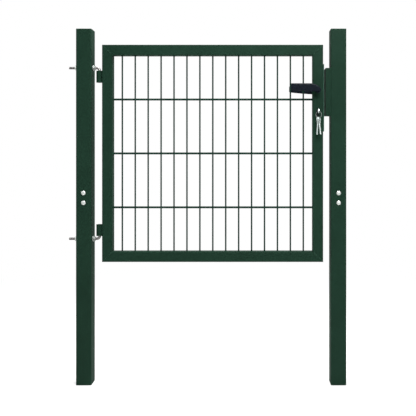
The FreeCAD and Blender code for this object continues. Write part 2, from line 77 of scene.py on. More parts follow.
RIGHT, BACK, UP = Vector((1, 0, 0)), Vector((0, 1, 0)), Vector((0, 0, 1))

# %% [markdown]
# ## The camera
# The photograph was taken square to the gate, because its posts and rails stay parallel in the picture.
# What does converge is the depth of the posts: the side faces of both posts lead to one point, right of the
# middle and above it. That point is where the camera looks straight ahead, so it gives the camera's place
# along X and Z. A turned camera would tilt the posts, so the camera stays square and its lens is shifted
# sideways and down instead, as on an architect's camera.

# %% Camera
PICTURE = 416
AHEAD_X, AHEAD_Y = 249, 159
EYE_X, EYE_Z = 0.642, 0.878
DISTANCE = 2.400
VIEW_WIDTH = 1.6137


def add_to_scene(name, data):
    """Makes an object of its data and puts it in the scene."""
    made = bpy.data.objects.new(name, data)
    bpy.context.scene.collection.objects.link(made)
    return made


post_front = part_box("hinge_post")[0].y
camera_data = bpy.data.cameras.new("camera")
camera_data.sensor_width = 36
camera_data.lens = camera_data.sensor_width * DISTANCE / VIEW_WIDTH
camera_data.shift_x = (PICTURE / 2 - AHEAD_X) / PICTURE
camera_data.shift_y = (AHEAD_Y - PICTURE / 2) / PICTURE
camera = add_to_scene("camera", camera_data)
camera.location = (EYE_X, post_front - DISTANCE, EYE_Z)
camera.rotation_euler = (math.radians(90), 0, 0)
bpy.context.scene.camera = camera
print("camera at", tuple(round(v, 3) for v in camera.location), "lens", round(camera_data.lens, 1))

# %% [markdown]
# ## Light
# A shop photograph of a gate is lit by large soft boxes. Here one of them hangs before the upper right
# corner, because in the photograph the top rail and the lock's side are a little lighter than the rest. A
# weak one from the upper left fills the front, a wide one overhead brightens every upward face, and three
# more at the left, the right and the back keep the other sides readable. Small lamps would give hard
# shadows and glare on the paint, so area lamps are used.

# %% Lamps
gate_middle = Vector((0.5, 0, 0.9))


def soft_box(name, place, width, power):
    """A square area lamp that faces the middle of the gate."""
    data = bpy.data.lights.new(name, "AREA")
    data.size = width
    data.energy = power
    lamp = add_to_scene(name, data)
    lamp.location = place
    lamp.rotation_euler = (gate_middle - Vector(place)).to_track_quat("-Z", "Y").to_euler()
    print(name, "power:", power)


soft_box("key_lamp", (-2.9, -2.8, 3.2), 2.2, 16)
soft_box("corner_lamp", (1.1, -1.75, 2.3), 0.9, 66)
soft_box("right_lamp", (1.9, 0.7, 2.7), 1.4, 60)
soft_box("left_lamp", (-2.6, 0.9, 1.9), 1.8, 50)
soft_box("top_lamp", (0.5, 0.2, 4.4), 2.0, 200)
soft_box("back_lamp", (0.6, 4.0, 5.0), 2.4, 50)

# %% [markdown]
# ## Building node trees
# The room and every finish below are trees of nodes. Each node could be added and wired by hand, but that
# takes four lines a node and hides what the tree does. The first helper adds a node and plugs in its
# inputs. The others wrap the nodes that come up again and again and hand back their result, so that a tree
# reads like a formula.

# %% Node helpers
def add_node(tree, kind, inputs=None, **settings):
    """Adds a node; each input is a value or another node's output."""
    made = tree.nodes.new("ShaderNode" + kind)
    for key, value in settings.items():
        setattr(made, key, value)
    for key, value in (inputs or {}).items():
        if isinstance(value, bpy.types.NodeSocket):
            tree.links.new(value, made.inputs[key])
        else:
            made.inputs[key].default_value = value
    return made


def reckon(tree, operation, *values):
    """A Math node on up to three values or outputs."""
    return add_node(tree, "Math", dict(enumerate(values)), operation=operation).outputs[0]


def remap(tree, value, source, target=(0.0, 1.0), **settings):
    """A Map Range node, which carries one range onto another."""
    limits = {"From Min": source[0], "From Max": source[1], "To Min": target[0], "To Max": target[1]}
    return add_node(tree, "MapRange", {"Value": value, **limits}, **settings).outputs["Result"]


print("node helpers: add_node, reckon, remap")

# %% [markdown]
# ## A white room
# The world adds an even, weak light. Rays that come straight from the camera meet a white world instead, so
# the background is white and no extra light falls on the paint. Metal has no colour of its own and shows
# the room, so mirrored rays meet a white room too, a little darker below eye level. That gives the bolts
# and the keys a lighter upper side. A picture of a real room would do this too, but it would light the
# paint unevenly.

# %% World
EVEN_LIGHT = 0.11
ROOM_BELOW, ROOM_ABOVE = 0.8, 1.0
world = bpy.data.worlds.new("white_studio")
bpy.context.scene.world = world
world.use_nodes = True
air = world.node_tree
sky = air.nodes["Background"]
sky.inputs["Color"].default_value = (1, 1, 1, 1)
ray = add_node(air, "LightPath").outputs
direction = add_node(air, "TexCoord").outputs["Generated"]
height = add_node(air, "SeparateXYZ", {"Vector": direction}).outputs["Z"]
room = remap(air, height, (0.0, 0.2), (ROOM_BELOW, ROOM_ABOVE), interpolation_type="SMOOTHSTEP")
light_or_room = remap(air, ray["Is Glossy Ray"], (0.0, 1.0), (EVEN_LIGHT, room))
seen = reckon(air, "MAXIMUM", ray["Is Camera Ray"], ray["Is Transmission Ray"])
air.links.new(remap(air, seen, (0.0, 1.0), (light_or_room, 1.0)), sky.inputs["Strength"])
bpy.context.scene.view_settings.view_transform = "Standard"
print("world light:", EVEN_LIGHT)

# %% [markdown]
# ## Node groups
# Several materials share an effect, such as broken edges. The nodes could be copied into each of them, but a
# node group is built once, and every material then only sets its own values on it. One helper starts a
# group with its named inputs, and another gives it its outputs. Three more wrap the nodes that the groups
# use most.

# %% Group helpers
SOCKET_KINDS = {"RGBA": "NodeSocketColor", "VECTOR": "NodeSocketVector", "VALUE": "NodeSocketFloat"}


def start_group(name, sockets):
    """A node group with named inputs, a colour where the value is a tuple."""
    tree = bpy.data.node_groups.new(name, "ShaderNodeTree")
    for label, value in sockets.items():
        kind = SOCKET_KINDS["RGBA" if isinstance(value, tuple) else "VALUE"]
        tree.interface.new_socket(label, in_out="INPUT", socket_type=kind).default_value = value
    return tree, tree.nodes.new("NodeGroupInput").outputs


def end_group(tree, results):
    """Gives a group one named output for each result."""
    for label, result in results.items():
        tree.interface.new_socket(label, in_out="OUTPUT", socket_type=SOCKET_KINDS[result.type])
    group_output = tree.nodes.new("NodeGroupOutput")
    for label, result in results.items():
        tree.links.new(result, group_output.inputs[label])
    print("group:", tree.name, "gives", ", ".join(results))
    return tree


def noise(tree, place, scale, **inputs):
    """A Noise texture's grey value."""
    return add_node(tree, "TexNoise", {"Vector": place, "Scale": scale, **inputs}).outputs["Fac"]


def mix_colors(tree, share, first, second):
    """The first colour, blended towards the second."""
    inputs = {"Factor": share, "A": first, "B": second}
    return add_node(tree, "Mix", inputs, data_type="RGBA").outputs["Result"]


def bump(tree, height, strength, distance, normal):
    """A normal bent by a height."""
    inputs = {"Height": height, "Strength": strength, "Distance": distance, "Normal": normal}
    return add_node(tree, "Bump", inputs).outputs["Normal"]


# %% [markdown]
# ## Broken edges, as a group
# No edge on a real gate is as sharp as in CAD: a tube's end is deburred, and paint draws back from it. A
# Bevel node looks at the surface around each point and bends the normal near an edge, which rounds the
# edge for the light without any new geometry. Where the bent normal leaves the true one there is an edge,
# so the same node also gives a mask. Real bevels on every CAD part would be the other way, but they would
# change meshes that must stay as they are.

# %% Edge group
EDGE_LIKENESS = (0.995, 0.80)
tree, given = start_group("Broken Edge", {"Radius": 0.001})
rounded = add_node(tree, "Bevel", {"Radius": given["Radius"]}, samples=4).outputs["Normal"]
flat = add_node(tree, "NewGeometry").outputs["Normal"]
likeness = add_node(tree, "VectorMath", {0: rounded, 1: flat}, operation="DOT_PRODUCT").outputs["Value"]
edge_group = end_group(tree, {"Normal": rounded, "Edge": remap(tree, likeness, EDGE_LIKENESS)})


def start_surface(name, sockets):
    """A group for a finish: it has an edge radius, rounded edges with their mask, and the object's own
    coordinates.
    """
    tree, given = start_group(name, {**sockets, "Edge Radius": 0.001})
    edge = add_node(tree, "Group", {"Radius": given["Edge Radius"]}, node_tree=edge_group).outputs
    return tree, given, edge, add_node(tree, "TexCoord").outputs["Object"]


# %% [markdown]
# ## Powder coat, as a group
# The gate's steel is galvanised and then powder coated in dark green. Baked powder never lies quite flat:
# it keeps a fine orange peel a millimetre or two across, with a slow drift in shade where the coat is
# thicker. Edges get a lighter colour: partly the thin coat there, and partly a painted highlight that
# stands for edges catching the light. One noise makes the peel, a larger one the drift, and a very fine
# one the grain that a satin powder has. Peel and grain bend the light, and the colour is also painted
# darker in their hollows and lighter on their crests, a painted shade of the relief. A bump map from a
# picture would also do, but noise has no seams and no resolution.

# %% Powder coat group
GRAIN_SCALE = 3200.0
GRAIN_RELIEF = 0.25
PAINTED_RELIEF_SHADE = 0.16
DRIFT_DULLS = 0.05
tree, given, edge, place = start_surface("Powder Coat", {
    "Coat": (0.02, 0.05, 0.03, 1), "Thin Coat And Edge Highlight": (0.05, 0.1, 0.07, 1), "Peel Scale": 700.0, "Peel Depth": 0.02,
    "Drift Scale": 5.0, "Drift": 0.2, "Gloss": 0.4})
peel = noise(tree, place, given["Peel Scale"], Detail=2.0, Roughness=0.4)
drift = noise(tree, place, given["Drift Scale"], Detail=5.0, Roughness=0.6)
grain = noise(tree, place, GRAIN_SCALE, Detail=1.0)
drift_shade = remap(tree, drift, (0.3, 0.7), (-1.0, 1.0))
# painted shade: the colour is darker in the hollows of the peel and grain and lighter on their crests
painted_relief_shade = remap(tree, reckon(tree, "ADD", peel, grain), (0.7, 1.3), (-PAINTED_RELIEF_SHADE, PAINTED_RELIEF_SHADE))
shade = reckon(tree, "ADD", 1.0, reckon(tree, "MULTIPLY_ADD", drift_shade, given["Drift"], painted_relief_shade))
shaded = add_node(tree, "VectorMath", {0: given["Coat"], "Scale": shade}, operation="SCALE").outputs[0]
relief = reckon(tree, "MULTIPLY_ADD", grain, GRAIN_RELIEF, peel)
# edges get a lighter colour: partly the thin coat, partly a painted highlight for edges catching the light
coat_group = end_group(tree, {
    "Color": mix_colors(tree, edge["Edge"], shaded, given["Thin Coat And Edge Highlight"]),
    "Roughness": reckon(tree, "MULTIPLY_ADD", drift_shade, DRIFT_DULLS, given["Gloss"]),
    "Normal": bump(tree, relief, given["Peel Depth"], 1 * MM, edge["Normal"])})

# %% [markdown]
# ## Plated metal, as a group
# Bolts, nuts and washers are zinc plated, keys are nickel plated and the lock's works are bare or plated
# steel. All of them are metals, so what shows is mostly the room in them. What tells them apart is how
# rough they are and how their plating is broken up. Zinc has a faint patchy bloom, and every handled part
# has fine scratches. The group stretches one noise along an axis for the scratches and uses a second one
# for the bloom. The scratches go into roughness and relief, not into colour, as they do on real metal.

# %% Plated metal group
SCRATCH_STRETCH = (1.0, 0.12, 1.7)
BLOOM_DULLS = 0.12
SCRATCH_DULLS = 0.14
EDGE_SHINES = -0.08
tree, given, edge, place = start_surface("Plated Metal", {
    "Metal": (0.6, 0.6, 0.6, 1), "Bloom Color": (0.5, 0.5, 0.5, 1), "Bloom Scale": 140.0, "Bloom": 0.5,
    "Polish": 0.3, "Scratch Scale": 900.0, "Scratch Depth": 0.05})
stretched = add_node(tree, "VectorMath", {0: place, 1: SCRATCH_STRETCH}, operation="MULTIPLY").outputs[0]
scratches = noise(tree, stretched, given["Scratch Scale"], Detail=4.0, Roughness=0.7)
clouds = noise(tree, place, given["Bloom Scale"], Detail=4.0, Distortion=0.6)
bloom = reckon(tree, "MULTIPLY", remap(tree, clouds, (0.42, 0.62)), given["Bloom"])
dulled = reckon(tree, "MULTIPLY_ADD", bloom, BLOOM_DULLS, given["Polish"])
scratched = reckon(tree, "MULTIPLY_ADD", scratches, SCRATCH_DULLS, dulled)
plate_group = end_group(tree, {
    "Color": mix_colors(tree, bloom, given["Metal"], given["Bloom Color"]),
    "Roughness": reckon(tree, "MULTIPLY_ADD", edge["Edge"], EDGE_SHINES, scratched),
    "Normal": bump(tree, scratches, given["Scratch Depth"], 0.5 * MM, edge["Normal"])})

# %% [markdown]
# ## The finishes
# Each material is one group with its own values. Satin paint shows next to no gloss face on, but the rails'
# upper faces, seen at a flat angle, have a light strip. The shader's Specular layer is too strong face on,
# so it is off, and a thin Coat layer takes its place. Its low IOR keeps the front faces deep, and its weight
# sets how light the flat angles get. The wires have a finer peel than the posts. There are three zincs:
# bright on the bolt heads, and two darker copies that are painted shade, greyer on the nuts and darker and
# duller still on the threaded rods. The keys' nickel is brighter than the ring's spring steel. The levers
# are nylon with a spark-eroded grain. That is the same kind of effect as a powder coat with a deep and much
# finer peel, so they share its group.

# %% Material helpers
def new_material(name, slot, group, values, shader_values):
    """A Principled material whose colour, roughness and normal come from a group."""
    made = bpy.data.materials.new(name)
    made.use_nodes = True
    made["slot"] = slot
    tree = made.node_tree
    shader = tree.nodes["Principled BSDF"]
    effect = add_node(tree, "Group", values, node_tree=group).outputs
    for result, socket in (("Color", "Base Color"), ("Roughness", "Roughness"), ("Normal", "Normal")):
        tree.links.new(effect[result], shader.inputs[socket])
    for label, value in shader_values.items():
        shader.inputs[label].default_value = value
    print("material:", name)
    return made


def painted(name, slot, coat, thin_coat_and_edge_highlight, peel, drift, gloss, edge, shader_values):
    """Paint or plastic; peel and drift are each a scale and an amount."""
    return new_material(name, slot, coat_group, {
        "Coat": (*coat, 1), "Thin Coat And Edge Highlight": (*thin_coat_and_edge_highlight, 1), "Peel Scale": peel[0], "Peel Depth": peel[1],
        "Drift Scale": drift[0], "Drift": drift[1], "Gloss": gloss, "Edge Radius": edge}, shader_values)


def plated(name, slot, metal, bloom_color, bloom, polish, scratch, edge):
    """Bare or plated metal; bloom and scratch are each a scale and an amount."""
    return new_material(name, slot, plate_group, {
        "Metal": (*metal, 1), "Bloom Color": (*bloom_color, 1), "Bloom Scale": bloom[0], "Bloom": bloom[1],
        "Polish": polish, "Scratch Scale": scratch[0], "Scratch Depth": scratch[1], "Edge Radius": edge},
        {"Metallic": 1.0})


# %% Painted finishes
satin = {"Specular IOR Level": 0.0, "Coat Weight": 0.15, "Coat Roughness": 0.30, "Coat IOR": 1.2}
moulded = {"Specular IOR Level": 0.0, "Coat Weight": 0.11, "Coat Roughness": 0.26}
post_green = painted("green_powder_coat", "green_paint", (0.0096, 0.0268, 0.0169), (0.031, 0.073, 0.050),
                     peel=(620, 0.22), drift=(4, 0.16), gloss=0.42, edge=1.8 * MM, shader_values=satin)
wire_green = painted("green_wire_coat", "green_paint", (0.0095, 0.0260, 0.0185), (0.020, 0.045, 0.034),
                     peel=(1100, 0.16), drift=(14, 0.22), gloss=0.38, edge=0.3 * MM, shader_values=satin)
cylinder_coat = painted("dark_cylinder", "dark_steel", (0.014, 0.019, 0.018), (0.12, 0.12, 0.12),
                        peel=(1500, 0.05), drift=(25, 0.25), gloss=0.36, edge=0.5 * MM, shader_values=satin)
# painted highlight: a green lighter than the gate's, partly the faceplate's own paint, partly its lit edge
faceplate_green_and_highlight = painted("green_faceplate_and_highlight", "dark_steel", (0.020, 0.052, 0.037), (0.090, 0.160, 0.120),
                          peel=(900, 0.12), drift=(25, 0.20), gloss=0.38, edge=1.2 * MM, shader_values=satin)
lever_nylon = painted("black_nylon", "black_plastic", (0.0042, 0.0064, 0.0102), (0.030, 0.037, 0.048),
                      peel=(1100, 0.55), drift=(60, 0.18), gloss=0.46, edge=1.0 * MM, shader_values=moulded)

# %% Metal finishes
bolt_zinc = plated("bright_zinc", "zinc", (0.61, 0.64, 0.61), (0.46, 0.49, 0.47),
                   bloom=(260, 0.6), polish=0.26, scratch=(1300, 0.05), edge=0.3 * MM)
# painted shade: the hinge nuts and the threaded rods get darker copies of the bolt heads' zinc
nut_zinc_painted_shade = plated("grey_zinc_painted_shade", "zinc", (0.46, 0.49, 0.47), (0.31, 0.335, 0.32),
                  bloom=(220, 0.7), polish=0.32, scratch=(1100, 0.06), edge=0.3 * MM)
rod_zinc_painted_shade = plated("dark_zinc_painted_shade", "zinc", (0.25, 0.24, 0.235), (0.14, 0.133, 0.13),
                  bloom=(180, 0.7), polish=0.34, scratch=(900, 0.08), edge=0.3 * MM)
lock_steel = plated("lock_steel", "lock_steel", (0.47, 0.47, 0.46), (0.36, 0.36, 0.36),
                    bloom=(120, 0.5), polish=0.32, scratch=(800, 0.08), edge=0.4 * MM)
key_nickel = plated("key_nickel", "key_nickel", (0.80, 0.88, 0.86), (0.68, 0.75, 0.73),
                    bloom=(300, 0.35), polish=0.28, scratch=(1600, 0.07), edge=0.2 * MM)
ring_steel = plated("ring_steel", "key_nickel", (0.22, 0.24, 0.235), (0.14, 0.15, 0.15),
                    bloom=(220, 0.5), polish=0.24, scratch=(1400, 0.06), edge=0.2 * MM)

# %% [markdown]
# ## Dressing the CAD parts
# The imported record says which finish each part has. Tubes, caps, the keep box and the lock's works keep
# their CAD shape, which is already the real one, so they only change material. Setting each by hand would
# be long and easy to get wrong, so the record's own list drives the loop. The record counts the faceplate
# with the dark lock parts, but in the photograph it shines green in the gap, so it gets a coat of its own.
# That green is lighter than the gate's: partly the faceplate's own paint, and partly a painted highlight
# for its edge catching the light.

# %% Finish of each CAD part
finishes = {"green_paint": post_green, "zinc": bolt_zinc, "lock_steel": lock_steel,
            "dark_steel": cylinder_coat, "key_nickel": key_nickel, "black_plastic": lever_nylon}
subparts = frame["record"]["subparts"]
for subpart in subparts:
    materials = nodes[subpart["node"]].data.materials
    materials.clear()
    materials.append(finishes[subpart["material_slot"]])
# the faceplate's lighter green is partly a painted highlight for its edge catching the light
nodes["lock_faceplate"].data.materials[0] = faceplate_green_and_highlight
print("dressed:", len(subparts))

# %% [markdown]
# ## Building meshes
# Most small parts of a gate are turned on a lathe, rolled or drawn, so they are rows of rings. One helper
# skins a stack of rings, and a second one places the finished mesh: it smooths the round faces, keeps the
# corners sharp, hangs the piece on the body that carries it and hides the CAD part it stands for.
# Modifiers such as Screw would give the same forms, but threads and welds need a radius that changes from
# point to point, which rings allow.

# %% Rings and their skin
def skin(mesh, rings, closed=False):
    """Joins rings of points into one surface; the ends are capped unless it closes on itself."""
    loops = [[mesh.verts.new(point) for point in points] for points in rings]
    pairs = list(zip(loops, loops[1:]))
    if closed:
        pairs.append((loops[-1], loops[0]))
    for one, two in pairs:
        for i in range(len(one)):
            j = (i + 1) % len(one)
            mesh.faces.new((one[i], one[j], two[j], two[i]))
    if not closed:
        mesh.faces.new(loops[0])
        mesh.faces.new(loops[-1])


def evenly(first, last, steps):
    """Values in even steps from first to last."""
    return [first + (last - first) * i / steps for i in range(steps + 1)]


def circle(sides):
    """Angle, cosine and sine at even steps round a circle."""
    return [(angle, math.cos(angle), math.sin(angle)) for angle in evenly(0, 2 * math.pi, sides)[:-1]]


def ring(centre, direction, radius, sides):
    """Points round a centre; radius is a number or a function of the angle."""
    direction = Vector(direction).normalized()
    helper = BACK if abs(direction.y) < 0.9 else RIGHT
    first = helper.cross(direction).normalized()
    second = direction.cross(first)
    return [Vector(centre) + (first * c + second * s) * (radius(angle) if callable(radius) else radius)
            for angle, c, s in circle(sides)]


print("points on a ring of 8 sides:", len(ring((0, 0, 0), UP, 1.0, 8)))

# %% Placing a piece
def place_piece(name, mesh, material, body, sharp=40, instead_of=None):
    """Turns a finished bmesh into a piece that rides on a body, and may stand for a CAD part."""
    bmesh.ops.recalc_face_normals(mesh, faces=mesh.faces)
    data = bpy.data.meshes.new(name)
    mesh.to_mesh(data)
    mesh.free()
    data.materials.append(material)
    data.polygons.foreach_set("use_smooth", [True] * len(data.polygons))
    data.set_sharp_from_angle(angle=math.radians(sharp))
    piece = add_to_scene(name, data)
    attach(piece, body)
    if instead_of:
        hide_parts(instead_of)
    print(name, "faces:", len(data.polygons))


# %% [markdown]
# ## The wire panel
# The infill is a welded panel: upright wires of 6 mm lie on the front of three cross wires of 8 mm. Each
# crossing is pressed and welded by current, which leaves a small squeezed nugget, and each wire end is
# tacked to the tube. The CAD panel has eight-sided wires and no welds, so it is replaced. A lattice could
# come from a Wireframe modifier, but then both wires would lie in one plane and have no welds. Here every
# wire is its own round bar, and the panel's CAD box says where it starts and ends.

# %% Wires
UPRIGHT_RADIUS = 3.0 * MM
CROSS_RADIUS = 4.0 * MM
UPRIGHT_PITCH = 50.7 * MM
CROSS_PITCH = 212 * MM
panel_low, panel_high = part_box("mesh_panel")
upright_y = panel_low.y + UPRIGHT_RADIUS
cross_y = panel_high.y - CROSS_RADIUS


def spread(low, high, pitch):
    """As many places as fit, a pitch apart, centred between low and high."""
    count = int((high - low) / pitch)
    first = (low + high - (count - 1) * pitch) / 2
    return [first + i * pitch for i in range(count)]


upright_places = spread(panel_low.x, panel_high.x, UPRIGHT_PITCH)
cross_places = spread(panel_low.z, panel_high.z, CROSS_PITCH)
wires = bmesh.new()
for x in upright_places:
    skin(wires, [ring((x, upright_y, z), (0, 0, 1), UPRIGHT_RADIUS, 18) for z in (panel_low.z, panel_high.z)])
for z in cross_places:
    skin(wires, [ring((x, cross_y, z), (1, 0, 0), CROSS_RADIUS, 20) for x in (panel_low.x, panel_high.x)])
place_piece("wire_panel", wires, wire_green, "leaf", instead_of="mesh_panel")
print("uprights:", len(upright_places), "cross wires:", len(cross_places))

# %% [markdown]
# ## Welds of the panel
# A nugget is a flattened bead between the two wires. A tack is a small collar whose foot spreads on the
# tube. Both are painted over, so they share the wire's coat. No two welds are alike, so a seeded random
# generator varies their size a little: the same seed gives the same gate on every run.

# %% Nugget and tack
chance = random.Random(7)


def nugget(mesh, centre, reach):
    """A squeezed bead with a slightly uneven skin."""
    made = bmesh.ops.create_icosphere(mesh, subdivisions=2, radius=1)
    for vertex in made["verts"]:
        uneven = 1 + chance.uniform(-0.07, 0.07)
        vertex.co = Vector(centre) + Vector([a * b * uneven for a, b in zip(vertex.co, reach)])


def tack(mesh, foot, direction, radius):
    """A collar that flares onto the tube where a wire ends."""
    flare = chance.uniform(1.0, 1.9) * MM
    rise = chance.uniform(1.4, 2.4) * MM
    skin(mesh, [ring(Vector(foot) + Vector(direction) * rise * share, direction,
                     radius * 0.98 + flare * (1 - share) ** 2, 16) for share in evenly(0, 1, 4)])


print("nuggets:", len(upright_places) * len(cross_places), "tacks:",
      2 * (len(upright_places) + len(cross_places)))

# %% Panel welds
NUGGET_X, NUGGET_Y, NUGGET_Z = 3.3 * MM, 1.7 * MM, 3.6 * MM
panel_welds = bmesh.new()
for x in upright_places:
    for z in cross_places:
        size = chance.uniform(0.9, 1.15)
        nugget(panel_welds, (x, upright_y + UPRIGHT_RADIUS, z), (NUGGET_X * size, NUGGET_Y, NUGGET_Z * size))
    for z, way in ((panel_low.z, 1), (panel_high.z, -1)):
        tack(panel_welds, (x, upright_y, z), (0, 0, way), UPRIGHT_RADIUS)
for z in cross_places:
    for x, way in ((panel_low.x, 1), (panel_high.x, -1)):
        tack(panel_welds, (x, cross_y, z), (way, 0, 0), CROSS_RADIUS)
place_piece("panel_welds", panel_welds, wire_green, "leaf")

# %% [markdown]
# ## Weld beads
# The frame's corners, the hinge bushes and the keep box are welded by hand. A hand-made bead is a low ridge
# of overlapping ripples, one for each small move of the torch. Here it is a row of half rings whose height
# swells and sinks along the path. A noise texture could fake ripples, but a real ridge catches light along
# its edge.

# %% Bead helper
RIPPLE = 1.6 * MM
RINGS_A_RIPPLE = 5
RIPPLE_LAG = 0.35
RIPPLE_SWELL = 0.25
BLUNT_END = 0.25


def bead(mesh, start, end, outward, width, height):
    """A rippled weld bead from start to end, standing out of the surface along outward."""
    outward = outward.normalized()
    length = (end - start).length
    along = (end - start).normalized()
    side = along.cross(outward)
    rings = []
    for travel in evenly(0, length, max(8, int(length / RIPPLE * RINGS_A_RIPPLE))):
        centre = start + along * travel
        fade = min(1.0, min(travel, length - travel) / width + BLUNT_END)
        swell = (1 - RIPPLE_SWELL + RIPPLE_SWELL * abs(math.sin(math.pi * travel / RIPPLE))) * fade
        points = []
        for angle in evenly(0, math.pi, 8):
            lag = along * (-RIPPLE_LAG * RIPPLE * math.sin(angle))
            points.append(centre + lag + side * (width / 2 * math.cos(angle) * fade)
                          + outward * (height * math.sin(angle) * swell))
        rings.append(points + [centre - outward * height])
    skin(mesh, rings)


print("ripples on 40 mm of bead:", round(40 * MM / RIPPLE))

# %% [markdown]
# ## The mitred corners
# The four tubes of the leaf are cut at 45 degrees and welded all round. On the flat faces the bead was
# ground almost flush before coating, so it is low there, and it stays full in the inside corner. The beads
# could be drawn one by one, but all four corners are alike, so one loop walks round them.

# %% Mitre beads
TUBE = 40 * MM
TUBE_CORNER = 3 * MM
leaf_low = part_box("hinge_stile")[0]
leaf_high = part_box("lock_stile")[1]
across_tube = BACK * (leaf_high.y - TUBE_CORNER)
mitres = bmesh.new()
for x, to_x in ((leaf_low.x, 1), (leaf_high.x, -1)):
    for z, to_z in ((leaf_low.z, 1), (leaf_high.z, -1)):
        corner, inward = Vector((x, 0, z)), Vector((to_x, 0, to_z))
        for facing in (-BACK, BACK):
            start = corner + inward * TUBE_CORNER + facing * leaf_high.y
            end = corner + inward * (TUBE - TUBE_CORNER) + facing * leaf_high.y
            bead(mitres, start, end, facing, width=3.0 * MM, height=0.35 * MM)
        outside, inside = corner + inward * 0.4 * MM, corner + inward * TUBE
        bead(mitres, outside - across_tube, outside + across_tube, -inward, width=3.2 * MM, height=0.5 * MM)
        bead(mitres, inside - across_tube, inside + across_tube, inward, width=4.0 * MM, height=1.2 * MM)
place_piece("mitre_welds", mitres, post_green, "leaf")

# %% [markdown]
# ## Hinge bushes and the keep box
# Each bush is a short turned tube welded to the stile, and the keep box is folded sheet welded to the post.
# Their CAD shapes stay. What CAD leaves out is the bead down each side of the joint, in stretches on the
# keep. The places could be typed in, but laid along the edges of the parts' own boxes the beads follow if
# the CAD model changes.

# %% Bush and keep beads
BUSH_FOOT_X, BUSH_FOOT_Y = 1.6 * MM, 9.5 * MM
KEEP_SEAM = 0.4 * MM
KEEP_STRETCHES = (0.04, 0.40, 0.76)
STRETCH = 0.20
bush_beads, keep_beads = bmesh.new(), bmesh.new()
for level in ("upper", "lower"):
    bush_low, bush_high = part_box(level + "_hinge_bush")
    for way in (-1, 1):
        foot = Vector((leaf_low.x - BUSH_FOOT_X, way * BUSH_FOOT_Y, 0))
        bead(bush_beads, foot + UP * (bush_low.z + 2 * MM), foot + UP * (bush_high.z - 2 * MM),
             Vector((-1, way, 0)), width=5.5 * MM, height=2.0 * MM)
place_piece("bush_welds", bush_beads, post_green, "leaf")

keep_low, keep_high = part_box("keep_box")
keep_edge, keep_height = keep_high.x - KEEP_SEAM, keep_high.z - keep_low.z
for way, y in ((-1, keep_low.y), (1, keep_high.y)):
    for share in KEEP_STRETCHES:
        start = Vector((keep_edge, y, keep_low.z + keep_height * share))
        end = Vector((keep_edge, y, keep_low.z + keep_height * (share + STRETCH)))
        bead(keep_beads, start, end, Vector((-1, way, 0)), width=4.5 * MM, height=1.7 * MM)
for way, z in ((-1, keep_low.z), (1, keep_high.z)):
    start, end = Vector((keep_edge, keep_low.y + 3 * MM, z)), Vector((keep_edge, keep_high.y - 3 * MM, z))
    bead(keep_beads, start, end, Vector((-1, 0, way)), width=4.5 * MM, height=1.7 * MM)
place_piece("keep_welds", keep_beads, post_green, "posts")

# %% [markdown]
# ## Threads
# A metric thread is a helix, and on a rod drawn as rings it is enough to let each ring's radius rise and
# fall with the angle, a little further round on every ring. A Screw modifier makes the same form, but a
# bend and a plain pin would then be separate pieces. One path with one radius rule gives a whole bolt in
# one piece.

# %% Thread and swept rod
THREAD_DEPTH = 0.61
CREST = 0.12
FLANK = 0.66


def thread_depth(travel, angle, pitch):
    """How deep a metric thread cuts at a place on its rod, from 0 at the crest."""
    phase = (travel / pitch - angle / (2 * math.pi)) % 1.0
    return THREAD_DEPTH * pitch * min(1.0, max(0.0, (abs(2 * phase - 1) - CREST) / FLANK))


def threaded_radius(radius, pitch, first, last, length, chamfer):
    """A rule for a rod's radius: threaded from first to last, chamfered at both ends."""
    def rule(travel, angle):
        reach = radius
        if first <= travel <= last:
            fade = min(1.0, (last - travel) / pitch, (travel - first) / pitch + 0.3)
            reach -= thread_depth(travel, angle, pitch) * fade
        return min(reach, radius - chamfer + min(travel, length - travel))
    return rule


def swept_rod(mesh, path, rule, across, sides=28):
    """A rod along a list of travel, point and heading; rule gives its radius at a travel and an angle."""
    skin(mesh, [[point + (across * c + heading.cross(across) * s) * rule(travel, angle)
                 for angle, c, s in circle(sides)] for travel, point, heading in path])


print("depth of a thread of 1.5 mm pitch:", round(thread_depth(0, 0, 1.5), 2), "mm")

# %% [markdown]
# ## Hook bolts
# The leaf hangs on two hook bolts: threaded rods that pass through the post and are bent up or down into
# plain pins. Each is bent from one bar, so the path runs straight, round a quarter bend and along the pin,
# with short steps only where the thread needs them. A curve object with a bevel would follow the same path,
# but it couldn't carry the thread.

# %% Path of a hook bolt
PIN_RADIUS = 5 * MM
BEND_RADIUS = 11 * MM
M10_PITCH = 1.5 * MM
THREAD_STEP = 0.22 * MM
BEND_STEPS = 16
PIN_STATIONS = (0.3, 0.6, 0.9, 0.96, 0.985, 1.0)


def hook_path(rod_low, rod_high, way):
    """Along +X through the post, round the bend, then up or down the pin."""
    rod_z = rod_low.z + PIN_RADIUS if way > 0 else rod_high.z - PIN_RADIUS
    start = Vector((rod_low.x, 0, rod_z))
    straight = rod_high.x - PIN_RADIUS - BEND_RADIUS - rod_low.x
    pin = rod_high.z - rod_low.z - PIN_RADIUS - BEND_RADIUS
    turned = UP * way
    travels = evenly(0, straight, int(straight / THREAD_STEP))
    path = [(travel, start + RIGHT * travel, RIGHT) for travel in travels]
    centre = start + RIGHT * straight + turned * BEND_RADIUS
    for angle in evenly(0, math.pi / 2, BEND_STEPS)[1:]:
        c, s = math.cos(angle), math.sin(angle)
        place = centre + (RIGHT * s - turned * c) * BEND_RADIUS
        path.append((straight + BEND_RADIUS * angle, place, RIGHT * c + turned * s))
    bent, foot = path[-1][:2]
    path += [(bent + pin * share, foot + turned * pin * share, turned) for share in PIN_STATIONS]
    return path, straight


print("bend of a hook bolt:", round(BEND_RADIUS * math.pi / 2 / MM, 1), "mm along its middle")

